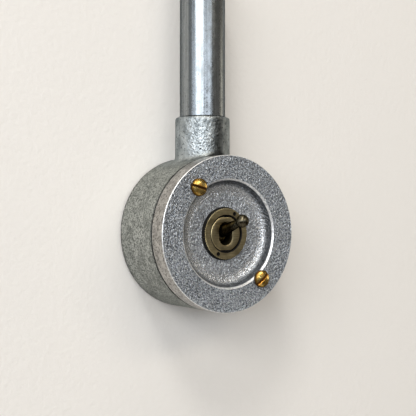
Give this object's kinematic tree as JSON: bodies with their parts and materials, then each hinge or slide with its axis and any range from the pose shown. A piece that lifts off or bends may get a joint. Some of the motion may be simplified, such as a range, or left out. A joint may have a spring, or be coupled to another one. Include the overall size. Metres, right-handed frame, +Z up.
{
  "type": "toggle light switch",
  "caption": "Metal-clad toggle light switch: round cast conduit box with a spout and conduit, dished lid, ring nut and a ball-ended dolly lever that snaps a rocker contact.",
  "frame": {"origin": "centre of the round box's back face, on the wall plane", "axes": "+Y into the wall, the switch faces -Y; +Z up, along the conduit; +X to the right seen from the front"},
  "size_m": [0.067, 0.0477, 0.1535],
  "materials": {
    "galvanised_casting": "hot-dip galvanised casting, dull mottled grey",
    "galvanised_tube": "bright galvanised drawn steel tube",
    "neoprene": "black rubber sheet",
    "sand_cast_aluminium": "coarse cast face with a turned rim",
    "polished_brass": "polished yellow brass",
    "antique_brass": "antiqued brushed brass",
    "dark_brass": "dark bronzed brass, polished on the knob",
    "contact_brass": "mill brass strip",
    "contact_silver": "silver contact metal",
    "zinc_steel": "zinc-plated pressed steel",
    "bright_steel": "drawn spring and pin steel",
    "phenolic_moulding": "dark brown phenolic moulding",
    "nylon": "natural nylon"
  },
  "bodies": {
    "switch_body": {"conduit_box": "galvanised_casting", "conduit_tube": "galvanised_tube", "lid_gasket": "neoprene", "lid": "sand_cast_aluminium", "lid_screw_upper": "polished_brass", "lid_screw_lower": "polished_brass", "ring_nut": "antique_brass", "threaded_bush": "antique_brass", "lock_washer": "zinc_steel", "mounting_saddle": "zinc_steel", "mechanism_housing": "phenolic_moulding", "rear_cover": "phenolic_moulding", "dolly_pivot_pin": "bright_steel", "fixed_contact_tips": "contact_silver", "terminal_common": "contact_brass", "terminal_upper": "contact_brass", "terminal_lower": "contact_brass", "terminal_screws": "polished_brass", "terminal_washers": "polished_brass", "earth_screw": "polished_brass", "earth_washer": "polished_brass"},
    "dolly": {"dolly": "dark_brass", "tail_insulator": "nylon", "toggle_spring": "bright_steel"},
    "rocker": {"rocker_contact": "contact_brass", "moving_contact_tips": "contact_silver"}
  },
  "joints": [
    {"name": "dolly_toggle", "type": "hinge", "parent": "switch_body", "child": "dolly", "pos_m": [0, -0.0262, 0], "axis": [1, 0, 0], "range_deg": [0, 33], "deforming": ["toggle_spring"]},
    {"name": "rocker_tip", "type": "hinge", "parent": "switch_body", "child": "rocker", "pos_m": [0, -0.01175, 0], "axis": [1, 0, 0], "range_deg": [0, 16]}
  ],
  "couplings": [
    {"joint": "rocker_tip", "follows": "dolly_toggle", "ratio": 0.4848}
  ]
}
